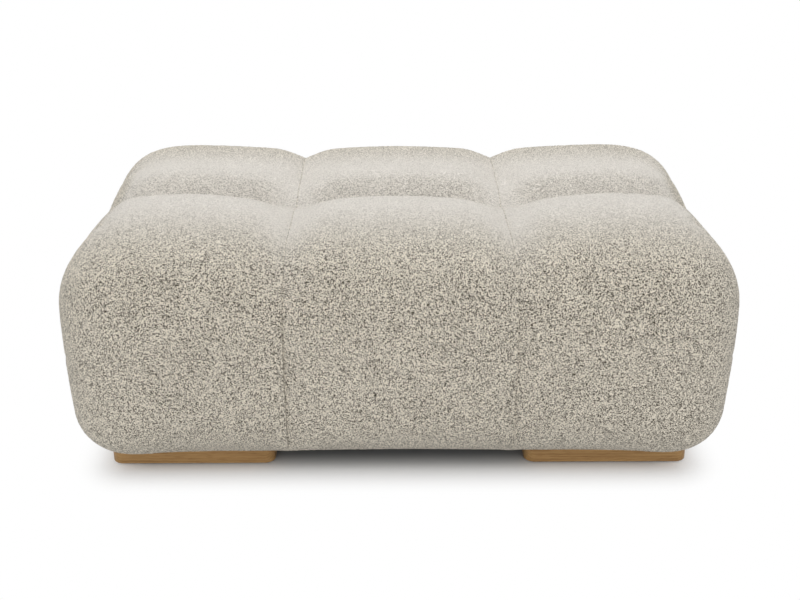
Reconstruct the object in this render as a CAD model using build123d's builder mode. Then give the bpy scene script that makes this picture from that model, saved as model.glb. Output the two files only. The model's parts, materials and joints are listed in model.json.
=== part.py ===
"""Ottoman coffee table: six boucle puffs over a pine box frame, on four oak plinth feet.

Millimetres. +X runs along the length, -Y is the front and +Z is up.
The origin is on the floor, under the middle of the ottoman.
"""
from build123d import *
from math import cos, radians, sin, sqrt
import os

os.makedirs("parts", exist_ok=True)

# Overall size: side to side, front to back, and floor to the crowns of the puffs
width = 1100.0
depth = 735.0
height = 406.0

# Depth of the sewn lines below the crowns
seam_drop = 12.0
tuft_drop = 41.5
middle_seam_drop = 5.0

# Roundness of the puffs
front_shoulder = 121.0
side_shoulder = 106.5
corner_shoulder = 103.0
lower_radius = 88.0
side_bow = 1320.0
widest_height = 243.0
corner_radius = 107.5
seam_pinch = 10.5
pinch_reach_share = 0.6
crown_fullness_share = 0.62
middle_fullness_share = 0.72
seam_crown_share = 0.573
corner_crown_share = 0.552
middle_crown_share = 0.478

# Cover, its turned-under hem and the cloth beneath
cover_thickness = 8.0
hem_thickness = 2.5
hem_width = 52.0
cover_seam_gap = 0.4
soft_clearance = 0.3
dust_cover_thickness = 1.0
dust_cover_inset = 6.0
dust_cover_corner = 20.0

# Foam, the cloth strips that pull the seams down and the ties at the tufts
foam_rise = 14.0
strip_thickness = 1.0
tie_radius = 2.0
knot_radius = 4.5
knot_height = 7.0
washer_radius = 11.0
washer_thickness = 2.0

# Pine frame
frame_inset = 112.0
frame_height = 190.0
panel_thickness = 4.0
rail_thickness = 25.0
rail_height = 50.0
post_width = 45.0
plate_thickness = 18.0
plate_depth = 80.0
edge_ease = 1.0

# Webbing and deck cloth
webbing_width = 60.0
webbing_thickness = 2.0
deck_thickness = 1.0
long_strap_shares = (-0.70, -0.26, 0.26, 0.70)
cross_strap_shares = (-0.82, -0.60, -0.22, 0.0, 0.22, 0.60, 0.82)

# Oak feet and their felt pads
foot_length = 276.0
foot_depth = 90.0
foot_thickness = 29.0
foot_end_inset = 62.0
foot_front_inset = 91.5
foot_corner = 18.0
foot_ease = 1.5
pad_thickness = 2.0
pad_inset = 4.0

# Fasteners
foot_screw_radius = 2.5
foot_screw_head_radius = 4.5
foot_screw_length = 34.0
foot_bore_radius = 5.5
foot_bore_depth = 12.0
foot_screw_step_x = 100.0
foot_screw_step_y = 26.0
frame_screw_radius = 2.0
frame_screw_head_radius = 4.0
frame_screw_length = 52.0
head_height = 3.0
screw_clearance = 0.1
tip_clearance = 0.5
screw_stagger = 12.0
staple_length = 10.0
staple_width = 1.2
staple_thickness = 0.6
staple_inset = 8.0
staple_step = 45.0

# Heights that follow
seam_height = height - seam_drop
tuft_height = height - tuft_drop
foot_top = pad_thickness + foot_thickness
underside = foot_top + dust_cover_thickness
frame_base = underside + hem_thickness
frame_top = frame_base + frame_height
strap_base = frame_top - webbing_thickness
deck_base = frame_top + webbing_thickness
deck_top = deck_base + deck_thickness
foam_base = frame_base + foam_rise

# Places that follow
tuft_x = width / 6
panel_x = width / 2 - frame_inset
panel_y = depth / 2 - frame_inset
rail_x = panel_x - panel_thickness
rail_y = panel_y - panel_thickness
inner_x = rail_x - rail_thickness
inner_y = rail_y - rail_thickness
foot_x = width / 2 - foot_end_inset - foot_length / 2
foot_y = depth / 2 - foot_front_inset - foot_depth / 2
foam_seam_gap = strip_thickness + 2 * soft_clearance
tie_hole_radius = tie_radius + soft_clearance

# Fans of sections: turns about a tuft, and stations from one seam to the next
fan_shares = (0, 0.06, 0.2, 0.36, 0.5, 0.64, 0.8, 0.94, 1)
station_shares = (-1, -0.88, -0.55, 0, 0.55, 0.88, 1)

pieces = {}


# Outer form of the puffs

def outline_reach(angle, half_x, half_y):
    """Distance from a tuft to the rounded plan outline of its corner puff"""
    along = cos(angle)
    across = sin(angle)
    centre_x = half_x - corner_radius
    centre_y = half_y - corner_radius
    if half_x * across <= centre_y * along:
        return half_x / along
    if half_y * along <= centre_x * across:
        return half_y / across
    middle = along * centre_x + across * centre_y
    return middle + sqrt(middle ** 2 - centre_x ** 2 - centre_y ** 2 + corner_radius ** 2)


def corner_section(turn, gap, start):
    """Heights and reaches of a corner puff at a turn about the tuft, 0 along X and 1 along Y"""
    angle = radians(90 * turn)
    half_x = width / 2 - tuft_x - gap / 2
    half_y = depth / 2 - gap / 2
    rise = max(0, sin(2 * angle)) ** crown_fullness_share
    reach = outline_reach(angle, half_x, half_y)
    on_side = turn < 0.5
    from_seam = reach * sin(angle) / half_y if on_side else reach * cos(angle) / half_x
    reach -= seam_pinch * max(0, 1 - from_seam / pinch_reach_share) ** 2
    edge_shoulder = side_shoulder if on_side else front_shoulder
    crown_share = seam_crown_share + (corner_crown_share - seam_crown_share) * rise
    return {
        "start": start,
        "seam_z": tuft_height,
        "crown_reach": reach * crown_share,
        "crown_z": seam_height + seam_drop * rise,
        "side_reach": reach,
        "shoulder": edge_shoulder + (corner_shoulder - edge_shoulder) * sin(2 * angle) ** 2,
    }


def middle_section(station, gap):
    """Heights and reaches of a middle puff, at a station from one cross seam to the other"""
    fullness = 1 - station ** 2
    reach = depth / 2 - seam_pinch * (1 - fullness)
    crown_share = seam_crown_share + (middle_crown_share - seam_crown_share) * fullness
    return {
        "start": gap / 2,
        "seam_z": tuft_height + (tuft_drop - seam_drop - middle_seam_drop) * fullness,
        "crown_reach": reach * crown_share,
        "crown_z": seam_height + seam_drop * fullness ** middle_fullness_share,
        "side_reach": reach,
        "shoulder": front_shoulder,
    }


def upper_meeting(centre_a, radius_a, centre_b, radius_b):
    """Upper point that lies at both radii from two centres"""
    between = centre_b - centre_a
    apart = between.length
    step = (radius_a ** 2 - radius_b ** 2 + apart ** 2) / (2 * apart)
    lift = sqrt(radius_a ** 2 - step ** 2)
    forward = between.normalized()
    sideways = Vector(-forward.Y, forward.X)
    foot = centre_a + forward * step
    return max(foot + sideways * lift, foot - sideways * lift, key=lambda point: point.Y)


def arc_through(centre, start, end):
    """Start, middle and end of the shorter arc about a centre"""
    outward = (start - centre) + (end - centre)
    return start, centre + outward.normalized() * (start - centre).length, end


def skin(section, inset, low_z):
    """Four tangent arcs inside the outer skin: crown, shoulder, side and lower edge"""
    rise = section["crown_z"] - section["seam_z"]
    span = section["crown_reach"] - section["start"]
    crown_radius = (span ** 2 + rise ** 2) / (2 * rise)
    shoulder = section["shoulder"] - inset
    lower = lower_radius - inset
    side_radius = side_bow - inset
    crown_centre = Vector(section["crown_reach"], section["crown_z"] - inset - crown_radius)
    side_centre = Vector(section["side_reach"] - side_bow, widest_height)
    shoulder_centre = upper_meeting(
        crown_centre, crown_radius - shoulder, side_centre, side_radius - shoulder
    )
    lower_drop = widest_height - low_z - lower
    lower_reach = sqrt((side_radius - lower) ** 2 - lower_drop ** 2)
    lower_centre = Vector(side_centre.X + lower_reach, low_z + lower)
    start = Vector(section["start"], section["seam_z"] - inset)
    crown_end = crown_centre + (shoulder_centre - crown_centre).normalized() * crown_radius
    side_start = side_centre + (shoulder_centre - side_centre).normalized() * side_radius
    side_end = side_centre + (lower_centre - side_centre).normalized() * side_radius
    low_end = lower_centre - Vector(0, lower)
    return [
        arc_through(crown_centre, start, crown_end),
        arc_through(shoulder_centre, crown_end, side_start),
        arc_through(side_centre, side_start, side_end),
        arc_through(lower_centre, side_end, low_end),
    ]


def corner_planes(side, face, gap):
    """Upright planes that fan out from a tuft over its corner puff"""
    planes = []
    for turn in fan_shares:
        angle = radians(90 * turn)
        along = Vector(side * cos(angle), face * sin(angle), 0)
        origin = (side * (tuft_x + gap / 2), face * gap / 2, 0)
        planes.append(Plane(origin=origin, x_dir=along, z_dir=along.cross(Vector(0, 0, 1))))
    return planes


def middle_planes(face, gap):
    """Upright planes across a middle puff, from one cross seam to the other"""
    along = Vector(0, face, 0)
    reach = tuft_x - gap / 2
    return [
        Plane(origin=(station * reach, 0, 0), x_dir=along, z_dir=along.cross(Vector(0, 0, 1)))
        for station in station_shares
    ]


def cover_outline(section):
    """Closed outline of a cover: its outer skin, hem and inner skin, as arcs and lines"""
    outer = skin(section, 0, underside)
    inner = skin(section, cover_thickness, frame_base)
    low = outer[-1][2]
    inner_low = inner[-1][2]
    hem_edge = low.X - hem_width
    corners = [low, Vector(hem_edge, underside), Vector(hem_edge, frame_base), inner_low]
    lines = list(zip(corners[:-1], corners[1:]))
    lines.append((inner[0][0], outer[0][0]))
    return outer + inner, lines


def filling_outline(section):
    """Closed outline of what fills a cover, just inside it, as arcs and lines"""
    arcs = skin(section, cover_thickness + soft_clearance, frame_base)
    start = arcs[0][0]
    low = arcs[-1][2]
    corner = Vector(start.X, low.Y)
    return arcs, [(low, corner), (corner, start)]


def puff_loft(planes, outlines):
    """Smooth solid through the outlines of one puff"""
    with BuildPart() as solid:
        for plane, (arcs, lines) in zip(planes, outlines):
            with BuildSketch(plane):
                with BuildLine():
                    for arc in arcs:
                        ThreePointArc(*arc)
                    for line in lines:
                        Line(*line)
                make_face()
        loft()
    return solid.part


def corner_loft(outline, side, face, gap):
    """Smooth solid of a corner puff"""
    sections = [corner_section(turn, gap, tie_hole_radius) for turn in fan_shares]
    return puff_loft(corner_planes(side, face, gap), [outline(section) for section in sections])


def middle_loft(outline, face, gap):
    """Smooth solid of a middle puff"""
    sections = [middle_section(station, gap) for station in station_shares]
    return puff_loft(middle_planes(face, gap), [outline(section) for section in sections])


# Screws that hold the feet, shared by the feet, cloths, rails and plates

foot_screw_places = [
    (foot_x - foot_screw_step_x, rail_y - rail_thickness / 2),
    (foot_x - foot_screw_step_x, foot_y - foot_screw_step_y),
    (rail_x - rail_thickness / 2, rail_y - rail_thickness / 2),
    (rail_x - rail_thickness / 2, foot_y - foot_screw_step_y),
]
foot_screw_seat = pad_thickness + foot_bore_depth
foot_screw_tip = foot_screw_seat + foot_screw_length
foot_screw_hole = foot_screw_radius + screw_clearance


def mirrored(places, side, face):
    """The same places in the quarter of the ottoman that side and face name"""
    return [(side * x, face * y) for x, y in places]


def drill_up(places, base, radius, hole_depth):
    """Holes drilled upwards from a level"""
    for x, y in places:
        with Locations(Plane(origin=(x, y, base), z_dir=(0, 0, -1))):
            Hole(radius, depth=hole_depth)


# Covers and foam blocks

quarters = {
    "front_left": (-1, -1),
    "front_right": (1, -1),
    "back_left": (-1, 1),
    "back_right": (1, 1),
}
rows = {"front": -1, "back": 1}
sides = {"left": -1, "right": 1}

for quarter, (side, face) in quarters.items():
    with BuildPart() as cover:
        add(corner_loft(cover_outline, side, face, cover_seam_gap))
        drill_up(mirrored(foot_screw_places, side, face), underside, foot_screw_hole, hem_thickness)
    pieces[f"cover_{quarter}"] = cover

    with BuildPart() as foam:
        add(corner_loft(filling_outline, side, face, foam_seam_gap))
        Box(
            2 * (panel_x + soft_clearance),
            2 * (panel_y + soft_clearance),
            deck_top,
            align=(Align.CENTER, Align.CENTER, Align.MIN),
            mode=Mode.SUBTRACT,
        )
        split(bisect_by=Plane.XY.offset(foam_base), keep=Keep.TOP)
    pieces[f"foam_{quarter}"] = foam

for row, face in rows.items():
    with BuildPart() as cover:
        add(middle_loft(cover_outline, face, cover_seam_gap))
        with Locations((-tuft_x, 0), (tuft_x, 0)):
            Cylinder(tie_hole_radius, 2 * height, mode=Mode.SUBTRACT)
    pieces[f"cover_{row}_middle"] = cover

    with BuildPart() as foam:
        add(middle_loft(filling_outline, face, foam_seam_gap))
        Box(
            width,
            2 * (panel_y + soft_clearance),
            deck_top,
            align=(Align.CENTER, Align.CENTER, Align.MIN),
            mode=Mode.SUBTRACT,
        )
        split(bisect_by=Plane.XY.offset(foam_base), keep=Keep.TOP)
        with Locations((-tuft_x, 0), (tuft_x, 0)):
            Cylinder(tie_hole_radius, 2 * height, mode=Mode.SUBTRACT)
    pieces[f"foam_{row}_middle"] = foam


# Cloth strips that pull the seams down on to the deck

def end_strip(face_direction, along, turn):
    """A strip under the outer end of a seam, from the tuft out to the cover"""
    arcs, lines = filling_outline(corner_section(turn, cover_seam_gap, tie_hole_radius))
    plane = Plane(origin=face_direction, x_dir=along, z_dir=along.cross(Vector(0, 0, 1)))
    with BuildPart() as strip:
        with BuildSketch(plane):
            with BuildLine():
                for arc in arcs:
                    ThreePointArc(*arc)
                for line in lines:
                    Line(*line)
            make_face()
        extrude(amount=strip_thickness / 2, both=True)
        split(bisect_by=Plane.XY.offset(deck_top), keep=Keep.TOP)
    return strip.part


with BuildPart() as seam_strips_long:
    with BuildSketch(Plane.XZ):
        with BuildLine():
            end_x = tuft_x - tie_hole_radius
            end_z = tuft_height - cover_thickness - soft_clearance
            rise = tuft_drop - seam_drop - middle_seam_drop
            ThreePointArc((-end_x, end_z), (0, end_z + rise), (end_x, end_z))
            Polyline((end_x, end_z), (end_x, deck_top), (-end_x, deck_top), (-end_x, end_z))
        make_face()
    extrude(amount=strip_thickness / 2, both=True)
    for side in sides.values():
        add(end_strip((side * tuft_x, 0, 0), Vector(side, 0, 0), 0))
pieces["seam_strips_long"] = seam_strips_long

for side_name, side in sides.items():
    with BuildPart() as seam_strips:
        for face in rows.values():
            add(end_strip((side * tuft_x, 0, 0), Vector(0, face, 0), 1))
    pieces[f"seam_strips_{side_name}"] = seam_strips


# Pine frame

def board(span_x, span_y, span_z, mouths=()):
    """Eased timber between two opposite corners, with holes at the planes of their mouths"""
    spans = (span_x, span_y, span_z)
    lengths = [abs(end - start) for start, end in spans]
    middle = tuple((start + end) / 2 for start, end in spans)
    with BuildPart() as piece:
        with Locations(middle):
            Box(*lengths)
        chamfer(piece.edges(), edge_ease)
        for plane, radius, hole_depth in mouths:
            with Locations(plane):
                Hole(radius, depth=hole_depth)
    return piece


rail_base_span = (frame_base, frame_base + rail_height)
rail_top_span = (frame_top - rail_height, frame_top)
low_rail_top_span = (strap_base - rail_height, strap_base)
post_centre_x = inner_x - post_width / 2
post_centre_y = inner_y - post_width / 2
frame_screw_hole = frame_screw_radius + screw_clearance
head_hole_radius = frame_screw_head_radius + screw_clearance
pilot_depth = frame_screw_length - rail_thickness + head_height + tip_clearance
foot_hole_depth = foot_screw_tip - frame_base + tip_clearance

# Levels of the frame screws: those along Y run below the middle of a rail, those along X above it
rail_middles = {"bottom": frame_base + rail_height / 2, "top": frame_top - rail_height / 2}


def mouths_along_y(face, x, z, start_y, radius, hole_depth):
    """A hole drilled inwards from the front or back"""
    plane = Plane(origin=(x, face * start_y, z), x_dir=(1, 0, 0), z_dir=(0, face, 0))
    return (plane, radius, hole_depth)


def mouths_along_x(side, y, z, start_x, radius, hole_depth):
    """A hole drilled inwards from an end"""
    plane = Plane(origin=(side * start_x, y, z), x_dir=(0, 1, 0), z_dir=(side, 0, 0))
    return (plane, radius, hole_depth)


def mouth_up(x, y, base, radius, hole_depth):
    """A hole drilled upwards"""
    return (Plane(origin=(x, y, base), z_dir=(0, 0, -1)), radius, hole_depth)


for row, face in rows.items():
    for level, middle_z in rail_middles.items():
        mouths = []
        for x in (-post_centre_x, -tuft_x, tuft_x, post_centre_x):
            screw_z = middle_z - screw_stagger
            mouths.append(mouths_along_y(face, x, screw_z, rail_y, frame_screw_hole, rail_thickness))
            mouths.append(mouths_along_y(face, x, screw_z, rail_y, head_hole_radius, head_height))
        if level == "bottom":
            for side in sides.values():
                for x, y in (foot_screw_places[0], foot_screw_places[2]):
                    mouths.append(mouth_up(side * x, face * y, frame_base, foot_screw_hole, foot_hole_depth))
        span_z = rail_base_span if level == "bottom" else rail_top_span
        span_y = (face * inner_y, face * rail_y)
        pieces[f"{level}_rail_{row}"] = board((-rail_x, rail_x), span_y, span_z, mouths)

for side_name, side in sides.items():
    for level, middle_z in rail_middles.items():
        mouths = []
        for y in (-post_centre_y, post_centre_y):
            screw_z = middle_z + screw_stagger
            mouths.append(mouths_along_x(side, y, screw_z, rail_x, frame_screw_hole, rail_thickness))
            mouths.append(mouths_along_x(side, y, screw_z, rail_x, head_hole_radius, head_height))
        if level == "bottom":
            for face in rows.values():
                x, y = foot_screw_places[3]
                mouths.append(mouth_up(side * x, face * y, frame_base, foot_screw_hole, foot_hole_depth))
        span_z = rail_base_span if level == "bottom" else low_rail_top_span
        span_x = (side * inner_x, side * rail_x)
        pieces[f"{level}_rail_{side_name}"] = board(span_x, (-inner_y, inner_y), span_z, mouths)

for quarter, (side, face) in quarters.items():
    mouths = []
    for level, middle_z in rail_middles.items():
        low_z = middle_z - screw_stagger
        high_z = middle_z + screw_stagger
        mouths.append(
            mouths_along_y(face, side * post_centre_x, low_z, inner_y, frame_screw_hole, pilot_depth)
        )
        mouths.append(
            mouths_along_x(side, face * post_centre_y, high_z, inner_x, frame_screw_hole, pilot_depth)
        )
    span_x = (side * (inner_x - post_width), side * inner_x)
    span_y = (face * (inner_y - post_width), face * inner_y)
    pieces[f"corner_post_{quarter}"] = board(span_x, span_y, (frame_base, strap_base), mouths)

    low_z = rail_middles["bottom"] - screw_stagger
    mouths = [mouths_along_y(face, side * tuft_x, low_z, inner_y, frame_screw_hole, pilot_depth)]
    span_x = (side * (tuft_x - post_width / 2), side * (tuft_x + post_width / 2))
    span_z = (frame_base, low_rail_top_span[0])
    pieces[f"middle_post_{quarter}"] = board(span_x, span_y, span_z, mouths)

for side_name, side in sides.items():
    span_x = (side * (tuft_x - rail_thickness / 2), side * (tuft_x + rail_thickness / 2))
    screw_z = rail_middles["top"] - screw_stagger
    mouths = [mouth_up(side * tuft_x, 0, low_rail_top_span[0], tie_hole_radius, rail_height)]
    for face in rows.values():
        mouths.append(mouths_along_y(face, side * tuft_x, screw_z, inner_y, frame_screw_hole, pilot_depth))
    pieces[f"top_cross_rail_{side_name}"] = board(span_x, (-inner_y, inner_y), low_rail_top_span, mouths)
    lower_reach = inner_y - post_width
    pieces[f"bottom_cross_rail_{side_name}"] = board(span_x, (-lower_reach, lower_reach), rail_base_span)

with BuildPart() as foot_plates:
    for side, face in quarters.values():
        start_x = tuft_x + post_width / 2
        end_x = inner_x - post_width
        middle = (
            side * (start_x + end_x) / 2,
            face * (inner_y - plate_depth / 2),
            frame_base + plate_thickness / 2,
        )
        with Locations(middle):
            Box(end_x - start_x, plate_depth, plate_thickness)
    for side, face in quarters.values():
        places = mirrored(foot_screw_places[1:2], side, face)
        drill_up(places, frame_base, foot_screw_hole, foot_hole_depth)
pieces["foot_plates"] = foot_plates

for row, face in rows.items():
    span_y = (face * rail_y, face * panel_y)
    with BuildPart() as panel:
        with Locations((0, face * (rail_y + panel_y) / 2, (frame_base + frame_top) / 2)):
            Box(2 * panel_x, panel_thickness, frame_height)
    pieces[f"side_panel_{row}"] = panel

for side_name, side in sides.items():
    panel_height = strap_base - frame_base
    with BuildPart() as panel:
        with Locations((side * (rail_x + panel_x) / 2, 0, (frame_base + strap_base) / 2)):
            Box(panel_thickness, 2 * rail_y, panel_height)
    pieces[f"side_panel_{side_name}"] = panel


# Webbing, deck cloth and tuft ties

with BuildPart() as webbing_long:
    with BuildSketch(Plane.XY.offset(strap_base)):
        with Locations(*[(0, share * inner_y) for share in long_strap_shares]):
            Rectangle(2 * rail_x, webbing_width)
    extrude(amount=webbing_thickness)
pieces["webbing_long"] = webbing_long

with BuildPart() as webbing_cross:
    with BuildSketch(Plane.XY.offset(frame_top)):
        with Locations(*[(share * inner_x, 0) for share in cross_strap_shares]):
            Rectangle(webbing_width, 2 * rail_y)
    extrude(amount=webbing_thickness)
pieces["webbing_cross"] = webbing_cross

with BuildPart() as deck_cloth:
    with BuildSketch(Plane.XY.offset(deck_base)):
        Rectangle(2 * panel_x, 2 * panel_y)
        with Locations((-tuft_x, 0), (tuft_x, 0)):
            Circle(tie_hole_radius, mode=Mode.SUBTRACT)
    extrude(amount=deck_thickness)
pieces["deck_cloth"] = deck_cloth

washer_base = low_rail_top_span[0] - washer_thickness
tie_base = washer_base - knot_height
tie_top = tuft_height - cover_thickness / 2

for side_name, side in sides.items():
    with BuildPart() as tie:
        with BuildSketch(Plane.XY.offset(tie_base)):
            with Locations((side * tuft_x, 0)):
                Circle(tie_radius)
        extrude(amount=tie_top - tie_base)
        with Locations((side * tuft_x, 0, tie_base + knot_height / 2)):
            Cylinder(knot_radius, knot_height)
        fillet(tie.edges().filter_by(GeomType.CIRCLE).group_by(SortBy.RADIUS)[-1], knot_radius / 3)
    pieces[f"tuft_tie_{side_name}"] = tie

with BuildPart() as tie_washers:
    with BuildSketch(Plane.XY.offset(washer_base)):
        with Locations((-tuft_x, 0), (tuft_x, 0)):
            Circle(washer_radius)
            Circle(tie_hole_radius, mode=Mode.SUBTRACT)
    extrude(amount=washer_thickness)
pieces["tie_washers"] = tie_washers


# Dust cover and its staples

dust_x = panel_x - dust_cover_inset
dust_y = panel_y - dust_cover_inset

with BuildPart() as dust_cover:
    with BuildSketch(Plane.XY.offset(foot_top)):
        RectangleRounded(2 * dust_x, 2 * dust_y, dust_cover_corner)
        for side, face in quarters.values():
            with Locations(*mirrored(foot_screw_places, side, face)):
                Circle(foot_screw_hole, mode=Mode.SUBTRACT)
    extrude(amount=dust_cover_thickness)
pieces["dust_cover"] = dust_cover


def staple_run(reach):
    """Evenly spaced places along one edge, clear of the feet"""
    count = int(reach / staple_step)
    return [index * staple_step for index in range(-count, count + 1)]


staple_reach_x = foot_x - foot_length / 2 - staple_length
staple_reach_y = foot_y - foot_depth / 2 - staple_length

with BuildPart() as dust_cover_staples:
    with BuildSketch(Plane.XY.offset(foot_top - staple_thickness)):
        for face in rows.values():
            with Locations(*[(x, face * (dust_y - staple_inset)) for x in staple_run(staple_reach_x)]):
                Rectangle(staple_length, staple_width)
        for side in sides.values():
            with Locations(*[(side * (dust_x - staple_inset), y) for y in staple_run(staple_reach_y)]):
                Rectangle(staple_width, staple_length)
    extrude(amount=staple_thickness)
pieces["dust_cover_staples"] = dust_cover_staples


# Oak feet, felt pads and screws

for quarter, (side, face) in quarters.items():
    with BuildPart() as foot:
        with BuildSketch(Plane.XY.offset(pad_thickness)):
            with Locations((side * foot_x, face * foot_y)):
                RectangleRounded(foot_length, foot_depth, foot_corner)
        extrude(amount=foot_thickness)
        rims = foot.faces().filter_by(Axis.Z).edges()
        fillet(rims, foot_ease)
        drill_up(mirrored(foot_screw_places, side, face), pad_thickness, foot_screw_hole, foot_thickness)
        drill_up(mirrored(foot_screw_places, side, face), pad_thickness, foot_bore_radius, foot_bore_depth)
    pieces[f"foot_{quarter}"] = foot

    with BuildPart() as pad:
        with BuildSketch():
            with Locations((side * foot_x, face * foot_y)):
                RectangleRounded(
                    foot_length - 2 * pad_inset, foot_depth - 2 * pad_inset, foot_corner - pad_inset
                )
        extrude(amount=pad_thickness)
    pieces[f"foot_pad_{quarter}"] = pad


def screw_group(head_radius, shank_radius, length, seats):
    """Screws with a round head below each seat and a pointed shank above it"""
    with BuildPart() as screw:
        with BuildSketch(Plane.XZ):
            with BuildLine():
                Polyline(
                    (0, -head_height),
                    (head_radius, -head_height),
                    (head_radius, 0),
                    (shank_radius, 0),
                    (shank_radius, length - 2 * shank_radius),
                    (0, length),
                    close=True,
                )
            make_face()
        revolve(axis=Axis.Z)
    with BuildPart() as group:
        with Locations(*seats):
            add(screw.part)
    return group


foot_screw_seats = [
    Location((x, y, foot_screw_seat))
    for side, face in quarters.values()
    for x, y in mirrored(foot_screw_places, side, face)
]
pieces["foot_screws"] = screw_group(
    foot_screw_head_radius, foot_screw_radius, foot_screw_length, foot_screw_seats
)

frame_screw_seats = []
for middle_z in rail_middles.values():
    for face in rows.values():
        for x in (-post_centre_x, -tuft_x, tuft_x, post_centre_x):
            origin = (x, face * (rail_y - head_height), middle_z - screw_stagger)
            frame_screw_seats.append(Plane(origin=origin, x_dir=(1, 0, 0), z_dir=(0, -face, 0)).location)
    for side in sides.values():
        for y in (-post_centre_y, post_centre_y):
            origin = (side * (rail_x - head_height), y, middle_z + screw_stagger)
            frame_screw_seats.append(Plane(origin=origin, x_dir=(0, 1, 0), z_dir=(-side, 0, 0)).location)
pieces["frame_screws"] = screw_group(
    frame_screw_head_radius, frame_screw_radius, frame_screw_length, frame_screw_seats
)


# One file for each sub-part

for name, piece in pieces.items():
    piece.part.label = name
    export_step(piece.part, f"parts/{name}.step")
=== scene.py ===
"""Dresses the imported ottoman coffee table: covers, foam, cloths, timber, fastenings and a stage."""

import json
import math

import bpy
import numpy as np
from bpy.props import FloatProperty, FloatVectorProperty, PointerProperty
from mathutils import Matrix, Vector

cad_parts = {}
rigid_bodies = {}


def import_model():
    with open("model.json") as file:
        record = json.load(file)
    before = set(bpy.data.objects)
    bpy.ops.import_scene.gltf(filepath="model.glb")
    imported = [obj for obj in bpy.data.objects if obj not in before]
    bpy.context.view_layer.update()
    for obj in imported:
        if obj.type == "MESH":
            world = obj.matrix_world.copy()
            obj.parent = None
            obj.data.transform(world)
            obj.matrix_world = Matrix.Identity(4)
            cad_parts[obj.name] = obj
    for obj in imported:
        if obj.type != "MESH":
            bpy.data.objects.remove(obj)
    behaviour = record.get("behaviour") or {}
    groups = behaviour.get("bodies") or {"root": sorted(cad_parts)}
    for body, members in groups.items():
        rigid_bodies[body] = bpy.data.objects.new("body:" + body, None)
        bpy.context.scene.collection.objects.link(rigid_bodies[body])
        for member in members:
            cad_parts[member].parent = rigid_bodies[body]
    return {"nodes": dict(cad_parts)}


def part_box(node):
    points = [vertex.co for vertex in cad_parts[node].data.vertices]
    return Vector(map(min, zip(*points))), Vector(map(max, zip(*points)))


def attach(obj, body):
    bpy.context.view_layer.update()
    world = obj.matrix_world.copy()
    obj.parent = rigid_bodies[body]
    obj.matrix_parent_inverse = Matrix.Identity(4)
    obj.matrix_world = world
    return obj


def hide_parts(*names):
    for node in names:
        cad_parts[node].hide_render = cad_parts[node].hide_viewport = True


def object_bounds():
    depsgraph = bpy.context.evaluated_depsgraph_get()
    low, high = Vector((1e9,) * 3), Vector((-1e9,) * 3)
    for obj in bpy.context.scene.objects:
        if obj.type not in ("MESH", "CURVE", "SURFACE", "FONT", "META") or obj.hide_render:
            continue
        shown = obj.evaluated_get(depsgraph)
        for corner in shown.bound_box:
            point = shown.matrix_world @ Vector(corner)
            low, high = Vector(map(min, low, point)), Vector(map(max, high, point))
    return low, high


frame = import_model()
NODES = frame["nodes"]
CAD_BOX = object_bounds()

bl_info = {
    "name": "Ottoman Coffee Table",
    "version": (1, 0, 0),
    "blender": (4, 5, 0),
    "location": "View3D > Sidebar > Ottoman",
    "description": "Makes the covers, fillings, cloths and finishes of an ottoman coffee table",
    "category": "Object",
}

HALF_WIDTH, HALF_DEPTH = CAD_BOX[1].x, CAD_BOX[1].y
PUFF_WIDTH = 2 * HALF_WIDTH / 3
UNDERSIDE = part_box("cover_front_middle")[0].z
QUARTERS = ("front_left", "front_right", "back_left", "back_right")
# The CAD cover that each cover is made from, and how it is mirrored along X and Y.
COVERS = {
    "front_left": ("cover_front_left", 1, 1),
    "front_right": ("cover_front_left", -1, 1),
    "back_left": ("cover_front_left", 1, -1),
    "back_right": ("cover_front_left", -1, -1),
    "front_middle": ("cover_front_middle", 1, 1),
    "back_middle": ("cover_front_middle", 1, -1),
}


# Helpers for selecting, editing and reading meshes


def select_only(piece):
    """Leaves one object selected and active, in object mode."""
    if bpy.context.mode != "OBJECT":
        bpy.ops.object.mode_set(mode="OBJECT")
    bpy.ops.object.select_all(action="DESELECT")
    piece.select_set(True)
    bpy.context.view_layer.objects.active = piece


def edit(piece, faces=None):
    """Opens a piece in edit mode with the masked faces selected, or all of it without a mask."""
    if faces is not None:
        for elements in (piece.data.vertices, piece.data.edges):
            elements.foreach_set("select", np.zeros(len(elements), bool))
        piece.data.polygons.foreach_set("select", faces)
    select_only(piece)
    bpy.ops.object.mode_set(mode="EDIT")
    bpy.ops.mesh.select_mode(type="FACE")
    if faces is None:
        bpy.ops.mesh.select_all(action="SELECT")


def leave_edit():
    bpy.ops.object.mode_set(mode="OBJECT")


def link_new(name, mesh):
    """A new object in the scene's own collection, at the origin."""
    piece = bpy.data.objects.new(name, mesh)
    bpy.context.scene.collection.objects.link(piece)
    return piece


def copy_of_node(node, name):
    """A new object with its own copy of a CAD node's mesh, its doubles merged."""
    piece = link_new(name, NODES[node].data.copy())
    edit(piece)
    bpy.ops.mesh.remove_doubles(threshold=1e-5)
    leave_edit()
    return piece


def apply_modifier(piece, kind, **settings):
    """Adds a modifier with its settings and applies it."""
    modifier = piece.modifiers.new(kind.title(), kind)
    for key, value in settings.items():
        setattr(modifier, key, value)
    select_only(piece)
    bpy.ops.object.modifier_apply(modifier=modifier.name)


def cloud_texture(name, size, depth=1, basis="ORIGINAL_PERLIN"):
    """A soft noise texture for displacing."""
    texture = bpy.data.textures.new(name, "CLOUDS")
    texture.noise_scale = size
    texture.noise_depth = depth
    texture.noise_basis = basis
    return texture


def displace(piece, texture, strength, group="", middle=0.5, direction="NORMAL"):
    """Moves a piece's skin by a texture in the object's own space."""
    apply_modifier(
        piece, "DISPLACE", texture=texture, texture_coords="LOCAL", direction=direction,
        mid_level=middle, strength=strength, vertex_group=group)


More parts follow.
